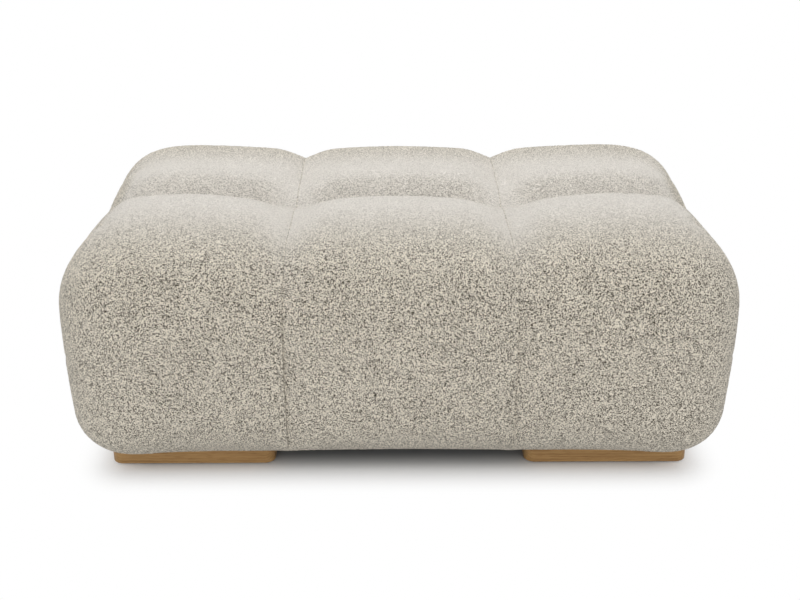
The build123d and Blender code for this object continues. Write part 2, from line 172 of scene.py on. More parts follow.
def read(elements, key, width=3):
    """A mesh collection's values as an array with one row for each element."""
    values = np.zeros(len(elements) * width, np.float32)
    elements.foreach_get(key, values)
    return values.reshape(-1, width) if width > 1 else values


def points_of(piece):
    """The places of a piece's points."""
    return read(piece.data.vertices, "co")


def place_points(piece, points):
    piece.data.vertices.foreach_set("co", points.astype(np.float32).ravel())
    piece.data.update()


def weight_group(piece, name, weights):
    """A vertex group with the given weight at each vertex, in steps of a fiftieth."""
    group = piece.vertex_groups.new(name=name)
    steps = np.round(np.clip(weights, 0, 1) * 50).astype(int)
    for step in np.unique(steps):
        members = np.nonzero(steps == step)[0].tolist()
        group.add(members, float(step) / 50, "REPLACE")


def keep_values(piece, name, values):
    """Stores a value for each point, for the piece's material."""
    attribute = piece.data.attributes.new(name, "FLOAT", "POINT")
    attribute.data.foreach_set("value", values.astype(np.float32))


def smooth_step(value, low, high):
    share = np.clip((value - low) / (high - low), 0, 1)
    return share * share * (3 - 2 * share)


def finish_piece(piece, node, material):
    """Gives a piece its finish and its body, and hides the node that it replaces."""
    piece.data.materials.clear()
    piece.data.materials.append(material)
    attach(piece, "root")
    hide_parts(node)


# Helpers for materials


def feed(tree, node, inputs):
    """Links or sets a node's inputs, each given as a socket, a number or a colour."""
    for key, value in inputs.items():
        if isinstance(value, bpy.types.NodeSocket):
            tree.links.new(value, node.inputs[key])
        else:
            node.inputs[key].default_value = value


def add_node(tree, kind, inputs, **settings):
    """A shader node with its settings and its inputs."""
    node = tree.nodes.new(kind)
    for key, value in settings.items():
        setattr(node, key, value)
    feed(tree, node, inputs)
    return node


def math_node(tree, operation, first, second=0.0, third=0.0, clamp=False):
    """The result of a Math node."""
    inputs = {0: first, 1: second, 2: third}
    return add_node(tree, "ShaderNodeMath", inputs, operation=operation, use_clamp=clamp).outputs[0]


def vector_node(tree, operation, inputs):
    """The result of a Vector Math node that gives a vector."""
    return add_node(tree, "ShaderNodeVectorMath", inputs, operation=operation).outputs[0]


def ramp_node(tree, value, low, high, out_low=0.0, out_high=1.0):
    """A value brought smoothly from one range to another."""
    inputs = {"Value": value, "From Min": low, "From Max": high, "To Min": out_low, "To Max": out_high}
    node = add_node(tree, "ShaderNodeMapRange", inputs, interpolation_type="SMOOTHSTEP")
    return node.outputs["Result"]


def mix_colours(tree, share, first, second):
    """The result of a colour Mix node between two colours, each a socket or three numbers."""
    inputs = {0: share}
    for key, colour in ((6, first), (7, second)):
        inputs[key] = colour if isinstance(colour, bpy.types.NodeSocket) else (*colour[:3], 1.0)
    return add_node(tree, "ShaderNodeMix", inputs, data_type="RGBA").outputs[2]


def noise_node(tree, place, scale, detail, distortion=0.0):
    """A soft noise between 0 and 1."""
    inputs = {"Vector": place, "Scale": scale, "Detail": detail, "Distortion": distortion}
    return add_node(tree, "ShaderNodeTexNoise", inputs).outputs["Fac"]


def cell_node(tree, place, scale, randomness=1.0):
    """The distance from the middle of the nearest of many cells."""
    inputs = {"Vector": place, "Scale": scale, "Randomness": randomness}
    return add_node(tree, "ShaderNodeTexVoronoi", inputs, feature="F1").outputs["Distance"]


def mapped(tree, place, **inputs):
    """A place that is moved, turned or scaled by a Mapping node."""
    return add_node(tree, "ShaderNodeMapping", {"Vector": place, **inputs}).outputs[0]


def place_group(tree, group, inputs):
    """A node group placed in a material."""
    return add_node(tree, "ShaderNodeGroup", inputs, node_tree=group)


def new_group(name, size_name, size, outputs):
    """A node group that takes a place and one size and puts out numbers.

    It returns the tree, the sockets of the place and the size, and the output node.
    """
    tree = bpy.data.node_groups.new(name, "ShaderNodeTree")
    tree.interface.new_socket("Vector", in_out="INPUT", socket_type="NodeSocketVector")
    socket = tree.interface.new_socket(size_name, in_out="INPUT", socket_type="NodeSocketFloat")
    socket.default_value = size
    for label in outputs:
        tree.interface.new_socket(label, in_out="OUTPUT", socket_type="NodeSocketFloat")
    given = tree.nodes.new("NodeGroupInput")
    return tree, given.outputs["Vector"], given.outputs[size_name], tree.nodes.new("NodeGroupOutput")


def new_material(name):
    """A material with only a Principled BSDF and its output.

    It returns the material, its tree and the socket of the object's own coordinates.
    """
    material = bpy.data.materials.new(name)
    material.use_nodes = True
    tree = material.node_tree
    return material, tree, tree.nodes.new("ShaderNodeTexCoord").outputs["Object"]


def finish_shader(material, colour, height, strength, depth, inputs):
    """Gives a material's shader its colour, a bump from a height, and its other inputs."""
    tree = material.node_tree
    bump = add_node(tree, "ShaderNodeBump", {"Height": height, "Strength": strength, "Distance": depth})
    feed(tree, tree.nodes["Principled BSDF"], {
        "Base Color": colour, "Normal": bump.outputs["Normal"], **inputs})
    return material


def scaled(colour, share):
    """A colour made darker or paler, and no paler than white."""
    return tuple(min(1.0, share * channel) for channel in colour)


def linear(colour):
    """A colour written in sRGB bytes as a linear colour."""
    shares = [channel / 255 for channel in colour]
    return [s / 12.92 if s <= 0.04045 else ((s + 0.055) / 1.055) ** 2.4 for s in shares]


# Settings that a user would change


def number(name, description, default, low, high, **kind):
    """A setting that is one number."""
    return FloatProperty(
        name=name, description=description, default=default, min=low, max=high, **kind)


def metres(name, description, default, low, high):
    """A setting that is a length."""
    return number(name, description, default, low, high, precision=4, unit="LENGTH")


def tone(name, description, *channels):
    """A setting that is a colour, its default given in sRGB bytes."""
    return FloatVectorProperty(
        name=name, description=description, default=linear(channels), size=3, min=0, max=1,
        subtype="COLOR")


class OttomanCoverSettings(bpy.types.PropertyGroup):
    """Sizes and colours of the six boucle covers"""

    voxel: metres("Voxel", "Size of the cells that the cloth is simulated on", 0.0048, 0.003, 0.02)
    start_inset: metres(
        "Start Inset", "How much smaller the cover starts before it swells", 0.0009, 0, 0.02)
    seam_reach: metres(
        "Seam Reach", "How far the cloth runs past its seams before they are cut", 0.009, 0.001, 0.05)
    pressure: number("Pressure", "Pressure of the filling on the cover", 4.0, 0, 20)
    swell_limit: metres(
        "Swell Limit", "How far a point of the cover may move while it swells", 0.005, 0, 0.03)
    sway_height: metres("Sway Height", "Height of the padding's slow unevenness", 0.0016, 0, 0.01)
    sway_length: metres("Sway Length", "Length of the padding's slow unevenness", 0.11, 0.02, 0.5)
    nub_height: metres("Nub Height", "Height of the boucle's nubs", 0.0016, 0, 0.006)
    nub_size: metres("Nub Size", "Size of the boucle's nubs", 0.0036, 0.001, 0.02)
    loop_size: metres("Loop Size", "Size of the yarn's loops in the finish", 0.0023, 0.0005, 0.02)
    thickness: metres("Thickness", "Thickness of the boucle and its wadding", 0.0076, 0.001, 0.02)
    hem_thickness: metres(
        "Hem Thickness", "Thickness of the cover under the frame", 0.0024, 0.0005, 0.01)
    hem_width: metres("Hem Width", "How far the cover reaches in under the frame", 0.052, 0.01, 0.1)
    hem_tuck: metres(
        "Hem Tuck", "How far the front and back are drawn in at the hem between seams", 0.016, 0, 0.03)
    valley_width: metres("Valley Width", "How far from a seam its valley starts", 0.06, 0.01, 0.15)
    top_valley: metres("Top Valley", "How much deeper the seams lie on top", 0.013, 0, 0.03)
    face_valley: metres(
        "Face Valley", "How much deeper the seams lie down the front and back", 0.0065, 0, 0.03)
    seam_lap: number(
        "Seam Lap", "Share by which a seam's left side stands out past its right one", 0.4, 0, 1,
        subtype="FACTOR")
    long_valley: metres(
        "Long Valley", "How much deeper the long seam lies between its crossings", 0.0135, 0, 0.03)
    long_valley_width: metres(
        "Long Valley Width", "How far from the long seam its valley starts", 0.085, 0.01, 0.15)
    shoulder: metres("Shoulder", "How much fuller the puffs are beside the long seam", 0.0105, 0, 0.02)
    loop_colour: tone("Loop Colour", "Colour of the yarn's loops", 231, 222, 205)
    # Painted highlight: the lighter colour the loops are given where the cover faces up on top.
    lit_top_colour: tone(
        "Lit Top Colour", "Colour of the loops where the nap is pressed flat", 230, 225, 218)
    # Painted shade: the colour that darkens the loops deep between them and in the hollows between
    # nubs.
    gap_shade_colour: tone("Gap Shade Colour", "Colour deep between the loops", 46, 34, 10)


class OttomanFoamSettings(bpy.types.PropertyGroup):
    """The six foam blocks under the covers"""

    voxel: metres("Voxel", "Size of the cells that a block's skin is made of", 0.006, 0.003, 0.02)
    unevenness: metres("Unevenness", "Depth of the cutter's marks on a block", 0.0018, 0, 0.005)
    colour: tone("Colour", "Colour of the foam", 238, 226, 186)


class OttomanClothSettings(bpy.types.PropertyGroup):
    """Webbing, linings, dust cover, twine and felt"""

    thread: metres("Thread", "Width of a thread of the webbing", 0.0012, 0.0003, 0.005)
    dust_sag: metres(
        "Dust Cover Sag", "How far the dust cover hangs between the rails", 0.0026, 0, 0.006)
    twine_lay: metres("Twine Lay", "Length of one turn of the twine's strands", 0.012, 0.003, 0.05)
    webbing_colour: tone("Webbing Colour", "Colour of the elastic webbing", 92, 78, 62)
    stripe_colour: tone("Stripe Colour", "Colour of the webbing's two stripes", 168, 132, 84)
    lining_colour: tone("Lining Colour", "Colour of the deck cloth and the seam strips", 222, 218, 208)
    dust_colour: tone("Dust Cover Colour", "Colour of the dust cover", 46, 46, 48)
    twine_colour: tone("Twine Colour", "Colour of the tufting twine", 220, 212, 190)
    felt_colour: tone("Felt Colour", "Colour of the felt pads under the feet", 62, 58, 54)


class OttomanTimberSettings(bpy.types.PropertyGroup):
    """Colours of the oak, pine, plywood and hardboard"""

    ring_spacing: metres("Ring Spacing", "Distance between the growth rings", 0.0034, 0.0005, 0.02)
    oak_light: tone("Oak Light", "Colour of the oak's early wood", 168, 133, 86)
    oak_dark: tone("Oak Dark", "Colour of the oak's late wood and pores", 130, 97, 58)
    pine_light: tone("Pine Light", "Colour of the pine's early wood", 226, 194, 146)
    pine_dark: tone("Pine Dark", "Colour of the pine's late wood", 190, 142, 88)
    ply_light: tone("Ply Light", "Colour of the plywood's long plies", 214, 184, 140)
    ply_dark: tone("Ply Dark", "Colour of the plywood's cross plies", 160, 122, 80)
    board_light: tone("Hardboard Light", "Colour of the hardboard's pale fibres", 158, 122, 88)
    board_dark: tone("Hardboard Dark", "Colour of the hardboard's dark fibres", 112, 80, 54)


class OttomanStageSettings(bpy.types.PropertyGroup):
    """The camera and the light"""

    focal_length: number(
        "Focal Length", "Camera's focal length in millimetres on a 36 mm sensor", 53.77, 10, 200)
    camera_place: FloatVectorProperty(
        name="Camera Place", description="Where the camera stands",
        default=(-0.013, -2.0302, 1.0639), size=3, precision=4, subtype="TRANSLATION", unit="LENGTH")
    camera_pitch: FloatProperty(
        name="Camera Pitch", description="How far the camera looks down",
        default=0.40911, precision=4, subtype="ANGLE", unit="ROTATION")
    camera_turn: FloatProperty(
        name="Camera Turn", description="How far the camera is turned to the right",
        default=0.0076, precision=4, subtype="ANGLE", unit="ROTATION")
    lamp_power: number(
        "Lamp Power", "Power of the large lamp overhead, in watts", 45.0, 0, 1000, unit="POWER")
    fill_power: number(
        "Fill Power", "Power of the soft lamp in front, in watts", 34.0, 0, 1000, unit="POWER")
    world_strength: number("World Strength", "Strength of the light from all round", 0.78, 0, 2)
    floor_reach: metres("Floor Reach", "Half the side of the floor", 6.0, 1, 50)


# Boucle covers

# Each pair in brackets is a range over which an effect grows or fades: a distance in metres, or for
# a slope the part of the normal that points that way.

# A cover becomes free to move over these distances from its seams and from its flat underside.
SWELL_FREE = ((0.0, 0.02), (0.001, 0.006))
SWAY_FREE = ((0.004, 0.05), (0.002, 0.02))
NUBS_FREE = ((0.0, 0.0016), (0.0005, 0.004))
# The hem's tuck fades over these heights, grows at these depths and fades towards both ends.
TUCK_HEIGHTS = (0.036, 0.13)
TUCK_DEPTHS = (0.25, 0.33)
TUCK_ENDS = (0.38, 0.49)
# Where the top turns down, how steeply a seam's valley falls, and where the valley grows: past the
# turn, away from the long seam and up from the hem.
TURN_DEPTH, TURN_HEIGHT = 0.23, 0.27
VALLEY_POWER = 1.6
VALLEY_RISE = (0.0, 0.08)
VALLEY_DEPTHS = (0.03, 0.14)
VALLEY_HEIGHTS = (0.035, 0.1)
# The long seam's valley grows away from the crossings, fades towards both ends and is on top only.
# Beside it the shoulders grow and fade again.
CROSSING_REACH = (0.0, 0.075)
LONG_SEAM_ENDS = (0.46, 0.54)
LONG_SEAM_HEIGHTS = (0.25, 0.34)
SHOULDER_RISE = (0.0, 0.06)
SHOULDER_FALL = (0.06, 0.2)
# The painted highlight on top fades out over these depths, further out beside the cross seams, and
# sooner on slopes.
TOP_LIGHT_DEPTHS = (0.1, 0.34)
TOP_LIGHT_SEAM_DELAY = 0.04
TOP_LIGHT_FRONT_SLOPE = (0.02, 0.6)
TOP_LIGHT_FRONT_SHARE = 0.25
TOP_LIGHT_SIDE_SLOPE = (0.45, 0.75)
# How far past its seam plane a cover is cut, so that two covers meet.
SEAM_CLOSING = 0.00017
# The flat underside is what lies this low and faces down at least this much.
FLAT_HEIGHT, FACING_DOWN = 0.0005, 0.98
# The height of the clumps as a share of the nubs'.
CLUMP_SHARE = 0.15
# The cover's cloth in the simulation.
CLOTH_STIFFNESS = 40
CLOTH_BENDING = 5
CLOTH_FRAMES = 20


def seam_sides(node):
    """The sides of a puff that face its neighbours, as axis, direction and place."""
    low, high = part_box(node)
    sides = []
    for axis, reach in ((0, HALF_WIDTH), (1, HALF_DEPTH)):
        for direction, place in ((-1, low[axis]), (1, high[axis])):
            if abs(place) < 0.9 * reach:
                sides.append((axis, direction, place))
    return sides


def closed_hull(node):
    """The puff as one closed body: the hull of its cover."""
    hull = copy_of_node(node, f"hull_{node}")
    edit(hull)
    bpy.ops.mesh.convex_hull(use_existing_faces=False)
    leave_edit()
    return hull


def faces_within(piece, chosen_points):
    """A mask of the faces whose corners are all among the chosen points."""
    loops = read(piece.data.loops, "vertex_index", 1).astype(int)
    starts = read(piece.data.polygons, "loop_start", 1).astype(int)
    return np.logical_and.reduceat(chosen_points[loops], starts)


def reach_past_seams(hull, node, settings):
    """Extrudes a puff's flat sides past its seams, to be cut clean after the cloth has moved."""
    for axis, direction, place in seam_sides(node):
        corners = points_of(hull)
        on_plane = np.abs(corners[:, axis] - place) < 1e-4
        offset = [0, 0, 0]
        offset[axis] = direction * settings.seam_reach
        edit(hull, faces_within(hull, on_plane))
        bpy.ops.mesh.extrude_region_move(TRANSFORM_OT_translate={"value": offset})
        leave_edit()


def cut_seams(piece, sides):
    """Cuts a puff off flat at its seam planes and leaves it open there."""
    for axis, direction, place in sides:
        across, point = [0, 0, 0], [0, 0, 0]
        across[axis], point[axis] = direction, place + direction * SEAM_CLOSING
        edit(piece)
        bpy.ops.mesh.bisect(plane_co=point, plane_no=across, clear_outer=True)
        leave_edit()


def open_underside(piece, settings):
    """Leaves only a hem of the cover's flat underside."""
    centres = read(piece.data.polygons, "center")
    normals = read(piece.data.polygons, "normal")
    edit(piece, (centres[:, 2] < UNDERSIDE + FLAT_HEIGHT) & (normals[:, 2] < -FACING_DOWN))
    for _ in range(round(settings.hem_width / settings.voxel)):
        bpy.ops.mesh.select_less()
    bpy.ops.mesh.delete(type="FACE")
    leave_edit()


def give_thickness(piece, settings):
    """Gives the open skin its wadding, thin under the frame, and returns how many faces are outside."""
    outside = len(piece.data.polygons)
    points = points_of(piece)
    weight_group(piece, "padding", smooth_step(points[:, 2] - UNDERSIDE, 0.0, settings.thickness))
    apply_modifier(
        piece, "SOLIDIFY", thickness=settings.thickness, offset=-1, vertex_group="padding",
        thickness_vertex_group=settings.hem_thickness / settings.thickness)
    return outside


def free_share(points, sides, seam_range, underside_range):
    """How free each point of a puff is of its seams and its flat underside, from 0 to 1."""
    away = [(place - points[:, axis]) * direction for axis, direction, place in sides]
    share = smooth_step(np.min(away, axis=0), *seam_range)
    return share * smooth_step(points[:, 2] - UNDERSIDE, *underside_range)


def tuck_hem(piece, depth):
    """Draws a puff's lower front or back in between its seams, so that the hem runs straight."""
    points = points_of(piece)
    puffs = points[:, 0] / PUFF_WIDTH
    bulge = 1 - (2 * (puffs - np.round(puffs))) ** 2
    low = 1 - smooth_step(points[:, 2], *TUCK_HEIGHTS)
    facing = smooth_step(np.abs(points[:, 1]), *TUCK_DEPTHS)
    facing *= 1 - smooth_step(np.abs(points[:, 0]), *TUCK_ENDS)
    points[:, 1] -= np.sign(points[:, 1]) * depth * bulge * low * facing
    place_points(piece, points)


def deepen_seams(piece, settings, lap=0.0):
    """Draws the skin in along the seams that run from front to back, more on top than down the faces.

    Down the faces a seam's left side stands out past its right side, by the lap's share.
    """
    points = points_of(piece)
    deep = np.abs(points[:, 1])
    seams = np.sign(points[:, 0]) * PUFF_WIDTH / 2
    away = np.abs(points[:, 0] - seams)
    valley = np.clip(1 - away / settings.valley_width, 0, 1) ** VALLEY_POWER
    outward, upward = np.maximum(deep - TURN_DEPTH, 0), np.maximum(points[:, 2] - TURN_HEIGHT, 0)
    past = np.maximum(np.hypot(outward, upward), 1e-6)
    outward, upward = outward / past, upward / past
    face = settings.face_valley * (1 + lap * np.sign(points[:, 0].mean() - seams))
    depth = face + (settings.top_valley - face) * upward
    depth *= valley * smooth_step(past, *VALLEY_RISE) * smooth_step(deep, *VALLEY_DEPTHS)
    depth *= smooth_step(points[:, 2], *VALLEY_HEIGHTS)
    points[:, 1] -= np.sign(points[:, 1]) * depth * outward
    points[:, 2] -= depth * upward
    place_points(piece, points)


def deepen_long_seam(piece, settings):
    """Draws the long seam down between its crossings and fills the puffs up beside it."""
    points = points_of(piece)
    along, deep = np.abs(points[:, 0]), np.abs(points[:, 1])
    share = smooth_step(np.abs(along - PUFF_WIDTH / 2), *CROSSING_REACH)
    share *= (1 - smooth_step(along, *LONG_SEAM_ENDS)) * smooth_step(points[:, 2], *LONG_SEAM_HEIGHTS)
    valley = np.clip(1 - deep / settings.long_valley_width, 0, 1) ** VALLEY_POWER
    fill = smooth_step(deep, *SHOULDER_RISE) * (1 - smooth_step(deep, *SHOULDER_FALL))
    points[:, 2] += share * (settings.shoulder * fill - settings.long_valley * valley)
    place_points(piece, points)


def swell(blank, node, settings):
    """The filling's pressure on the cover, as simulated cloth held at its seams and underside."""
    rest = points_of(blank)
    free = free_share(rest, seam_sides(node), *SWELL_FREE)
    start = rest - read(blank.data.vertices, "normal") * (settings.start_inset * free)[:, None]
    place_points(blank, start)
    weight_group(blank, "held", 1 - free)
    cloth = blank.modifiers.new("Cloth", "CLOTH")
    cloth.settings.quality = 3
    cloth.settings.tension_stiffness = cloth.settings.compression_stiffness = CLOTH_STIFFNESS
    cloth.settings.shear_stiffness = CLOTH_STIFFNESS
    cloth.settings.bending_stiffness = CLOTH_BENDING
    cloth.settings.use_pressure = True
    cloth.settings.uniform_pressure_force = settings.pressure
    cloth.settings.vertex_group_mass = "held"
    cloth.settings.effector_weights.gravity = 0
    cloth.collision_settings.use_collision = False
    cloth.point_cache.frame_start, cloth.point_cache.frame_end = 1, CLOTH_FRAMES
    scene = bpy.context.scene
    for step in range(1, CLOTH_FRAMES + 1):
        scene.frame_set(step)
    select_only(blank)
    bpy.ops.object.modifier_apply(modifier=cloth.name)
    scene.frame_set(1)
    moved = points_of(blank) - start
    share = np.minimum(1, settings.swell_limit / np.maximum(np.linalg.norm(moved, axis=1), 1e-9))
    place_points(blank, start + moved * share[:, None])


def mirror_copy(source, name, turn_x, turn_y):
    """A copy of a body mirrored across the long or the short middle plane."""
    piece = link_new(name, source.data.copy())
    edit(piece)
    bpy.ops.transform.resize(value=(turn_x, turn_y, 1), center_override=(0, 0, 0))
    bpy.ops.mesh.normals_make_consistent(inside=False)
    leave_edit()
    return piece


def subdivide_outside(piece, outside):
    """Divides the outer skin's faces once more, and returns a mask of its points."""
    edit(piece, np.arange(len(piece.data.polygons)) < outside)
    bpy.ops.mesh.subdivide(number_cuts=1)
    leave_edit()
    skin = read(piece.data.polygons, "select", 1).astype(bool)
    loops = read(piece.data.loops, "vertex_index", 1).astype(int)
    corners = read(piece.data.polygons, "loop_total", 1).astype(int)
    on_skin = np.zeros(len(piece.data.vertices), bool)
    on_skin[loops[np.repeat(skin, corners)]] = True
    return on_skin


def top_highlight_share(points, normals, settings):
    """How much painted highlight the top gets at each point, from 1 beside the long seam to 0 on the
    faces.
    """
    beside_seam = np.abs(np.abs(points[:, 0]) - PUFF_WIDTH / 2)
    delay = TOP_LIGHT_SEAM_DELAY * np.clip(1 - beside_seam / settings.valley_width, 0, 1)
    share = 1 - smooth_step(np.abs(points[:, 1]) - delay, *TOP_LIGHT_DEPTHS)
    share *= 1 - TOP_LIGHT_FRONT_SHARE * smooth_step(np.abs(normals[:, 1]), *TOP_LIGHT_FRONT_SLOPE)
    share *= 1 - smooth_step(np.abs(normals[:, 0]), *TOP_LIGHT_SIDE_SLOPE)
    return share * (normals[:, 2] > 0)


def raise_nubs(piece, on_skin, sides, textures, settings):
    """Moves the skin by the boucle's nubs.

    It keeps how high each point was raised, for the material's painted shade in the hollows between
    nubs, and how much painted highlight the top gets there.
    """
    points = points_of(piece)
    normals = read(piece.data.vertices, "normal")
    weight_group(piece, "nubs", on_skin * free_share(points, sides, *NUBS_FREE))
    displace(piece, textures["clumps"], settings.nub_height * CLUMP_SHARE, "nubs")
    displace(piece, textures["nubs"], settings.nub_height, "nubs")
    raised = ((points_of(piece) - points) * normals).sum(axis=1)
    keep_values(piece, "nub", 0.5 + raised / settings.nub_height)
    keep_values(piece, "painted_highlight", top_highlight_share(points, normals, settings))


def make_cover(place, bodies, textures, material, settings):
    """One cover: mirrored from its body, drawn in and cut at its seams, lined, and given its nubs."""
    source, turn_x, turn_y = COVERS[place]
    node = f"cover_{place}"
    sides = seam_sides(node)
    piece = mirror_copy(bodies[source], f"boucle_{node}", turn_x, turn_y)
    deepen_seams(piece, settings, settings.seam_lap)
    deepen_long_seam(piece, settings)
    weight_group(piece, "sway", free_share(points_of(piece), sides, *SWAY_FREE))
    displace(piece, textures["sway"], settings.sway_height, "sway")
    cut_seams(piece, sides)
    open_underside(piece, settings)
    on_skin = subdivide_outside(piece, give_thickness(piece, settings))
    raise_nubs(piece, on_skin, sides, textures, settings)
    select_only(piece)
    bpy.ops.object.shade_smooth_by_angle(angle=math.radians(72))
    piece.vertex_groups.clear()
    finish_piece(piece, node, material)


def boucle_loops_group():
    """Curling loops of yarn: light ridges along the contours of a soft noise, and the gaps between
    them, which are darkened by painted shade.
    """
    tree, place, loop_size, out = new_group("Boucle Loops", "Loop Size", 0.003, ("Height", "Gap"))
    per_metre = math_node(tree, "DIVIDE", 1.0, loop_size)
    curls = noise_node(tree, place, per_metre, 0.0, 0.8)
    contour = math_node(tree, "ABSOLUTE", math_node(tree, "SUBTRACT", curls, 0.5))
    ridge = ramp_node(tree, contour, 0.02, 0.17, 1.0, 0.0)
    tufts = cell_node(tree, place, math_node(tree, "MULTIPLY", per_metre, 0.8))
    dome = ramp_node(tree, tufts, 0.1, 0.8, 1.0, 0.0)
    height = math_node(tree, "MULTIPLY_ADD", ridge, 0.6, math_node(tree, "MULTIPLY", dome, 0.4))
    feed(tree, out, {"Height": height, "Gap": ramp_node(tree, height, 0.25, 0.38, 1.0, 0.0)})
    return tree


def boucle_material(settings):
    """Curly cream-grey boucle with painted shade between its loops and nubs, and a painted highlight on
    top where the loops are lighter and that shade fainter.
    """
    material, tree, place = new_material("Boucle")
    loops = place_group(
        tree, boucle_loops_group(), {"Vector": place, "Loop Size": settings.loop_size})
    nub, painted_highlight = [
        add_node(tree, "ShaderNodeAttribute", {}, attribute_name=name).outputs["Fac"]
        for name in ("nub", "painted_highlight")]
    # Painted shade: darker deep between the loops and in the low hollows between nubs, fainter on top
    # under its painted highlight.
    low = ramp_node(tree, nub, 0.15, 0.5, 1.0, 0.0)
    shade_share = math_node(tree, "MULTIPLY_ADD", low, 0.12, loops.outputs["Gap"])
    kept_under_highlight = math_node(tree, "MULTIPLY_ADD", math_node(tree, "POWER", painted_highlight, 2.0), -0.66, 1.0)
    shade_share = math_node(tree, "MULTIPLY", shade_share, kept_under_highlight, clamp=True)
    tint = ramp_node(tree, noise_node(tree, place, 14.0, 2.0), 0.3, 0.7, 0.98, 1.01)
    # Painted highlight: the loops turn to the lighter top colour where the cover faces up.
    loop_lit_on_top = mix_colours(tree, painted_highlight, settings.loop_colour, settings.lit_top_colour)
    yarn = mix_colours(tree, shade_share, loop_lit_on_top, settings.gap_shade_colour)
    tinted = vector_node(tree, "SCALE", {0: yarn, "Scale": tint})
    return finish_shader(material, tinted, loops.outputs["Height"], strength=1.0, depth=0.0015, inputs={
        "Roughness": 0.95, "Specular IOR Level": 0.15, "Sheen Weight": 0.6, "Sheen Roughness": 0.6,
        "Sheen Tint": (0.95, 0.91, 0.82, 1.0)})


class OTTOMAN_OT_covers(bpy.types.Operator):
    """Make the six boucle covers as swollen cloth over the filling"""

    bl_idname = "ottoman.covers"
    bl_label = "Boucle Covers"

    def execute(self, context):
        settings = context.scene.ottoman_covers
        bodies = {}
        for node in sorted({source for source, _, _ in COVERS.values()}):
            body = closed_hull(node)
            reach_past_seams(body, node, settings)
            apply_modifier(body, "REMESH", mode="VOXEL", voxel_size=settings.voxel)
            apply_modifier(body, "SMOOTH", factor=0.5, iterations=3)
            tuck_hem(body, settings.hem_tuck)
            swell(body, node, settings)
            bodies[node] = body
        textures = {
            "sway": cloud_texture("Padding Sway", settings.sway_length),
            "clumps": cloud_texture("Boucle Clumps", settings.nub_size * 3),
            "nubs": cloud_texture("Boucle Nubs", settings.nub_size, basis="VORONOI_F1"),
        }
        material = boucle_material(settings)
        for place in COVERS:
            make_cover(place, bodies, textures, material, settings)
        for body in bodies.values():
            bpy.data.objects.remove(body)
        return {"FINISHED"}


# Foam


def foam_material(settings):
    """Open-cell foam: pale, with fine pores darkened by painted shade, and faint marks of the cutter's
    blade.
    """
    material, tree, place = new_material("Foam")
    pore = ramp_node(tree, cell_node(tree, place, 900.0), 0.15, 0.75, 0.0, 1.0)
    marks = add_node(
        tree, "ShaderNodeTexWave", {"Vector": place, "Scale": 26.0, "Distortion": 1.2},
        bands_direction="Z").outputs["Fac"]
    red, green, blue = settings.colour
    old = ramp_node(tree, noise_node(tree, place, 9.0, 3.0), 0.4, 0.7)
    ground = mix_colours(tree, old, settings.colour, (red, 0.93 * green, 0.8 * blue))
    # Painted shade: the foam's colour is darkened inside its pores.
    share = math_node(tree, "MULTIPLY", pore, 0.5)
    height = math_node(tree, "MULTIPLY_ADD", marks, 0.3, pore)
    shade = mix_colours(tree, share, ground, scaled(settings.colour, 0.62))
    return finish_shader(material, shade, height, strength=0.5, depth=-0.0006, inputs={
        "Roughness": 0.95, "Specular IOR Level": 0.2})


class OTTOMAN_OT_foam(bpy.types.Operator):
    """Make the six foam blocks that the covers are drawn over"""

    bl_idname = "ottoman.foam"
    bl_label = "Foam Blocks"

    def execute(self, context):
        settings, covers = context.scene.ottoman_foam, context.scene.ottoman_covers
        material = foam_material(settings)
        marks = cloud_texture("Foam Unevenness", 0.04, depth=2)
        bodies = {}
        for place, (source, turn_x, turn_y) in COVERS.items():
            if source not in bodies:
                node = source.replace("cover", "foam")
                body = copy_of_node(node, f"body_{node}")
                apply_modifier(body, "REMESH", mode="VOXEL", voxel_size=settings.voxel)
                apply_modifier(body, "SMOOTH", factor=0.5, iterations=2)
                tuck_hem(body, covers.hem_tuck)
                bodies[source] = body
            node = f"foam_{place}"
            piece = mirror_copy(bodies[source], f"block_{node}", turn_x, turn_y)
            deepen_seams(piece, covers, covers.seam_lap)
            deepen_long_seam(piece, covers)
            displace(piece, marks, settings.unevenness, middle=1.15)
            select_only(piece)
            bpy.ops.object.shade_smooth()
            finish_piece(piece, node, material)
        for body in bodies.values():
            bpy.data.objects.remove(body)
        return {"FINISHED"}


# Webbing, linings and dust cover

LONG_STRAPS = (-0.1585, -0.0589, 0.0589, 0.1585)
CROSS_STRAPS = (-0.3354, -0.2454, -0.09, 0.0, 0.09, 0.2454, 0.3354)
# Where a strap's two stripes are from its middle, half the width of one, and the strap's thin edge.
STRIPE_PLACE, STRIPE_HALF_WIDTH = 0.019, 0.0022
STRAP_EDGE = (0.025, 0.03)
# How far inside its edge the dust cover's hem ends.
DUST_HEM = (0.014, 0.016)
# The open bays under the dust cover: their outer ends, half the width of a cross rail between them,
# half their depth, and how far from a rail the cloth hangs fully.
BAY_END, CROSS_RAIL_HALF, BAY_HALF_DEPTH, SAG_REACH = 0.4, 0.024, 0.178, 0.07


def plain_weave_group():
    """Threads over and under each other along X and Y."""
    tree, place, thread, out = new_group("Plain Weave", "Thread", 0.001, ("Height", "Warp"))
    places = add_node(tree, "ShaderNodeSeparateXYZ", {0: place})
    counts = [math_node(tree, "DIVIDE", places.outputs[axis], thread) for axis in (0, 1)]
    turns = [math_node(tree, "MULTIPLY", count, math.pi) for count in counts]
    rounds = [math_node(tree, "ABSOLUTE", math_node(tree, "SINE", turn)) for turn in turns]
    whole = [math_node(tree, "FLOOR", count) for count in counts]
    over = math_node(tree, "MODULO", math_node(tree, "ADD", whole[0], whole[1]), 2.0)
    over = math_node(tree, "ABSOLUTE", over)
    warp = math_node(tree, "MULTIPLY", over, rounds[1])
    weft = math_node(tree, "MULTIPLY", math_node(tree, "SUBTRACT", 1.0, over), rounds[0])
    feed(tree, out, {"Height": math_node(tree, "ADD", warp, weft), "Warp": over})
    return tree


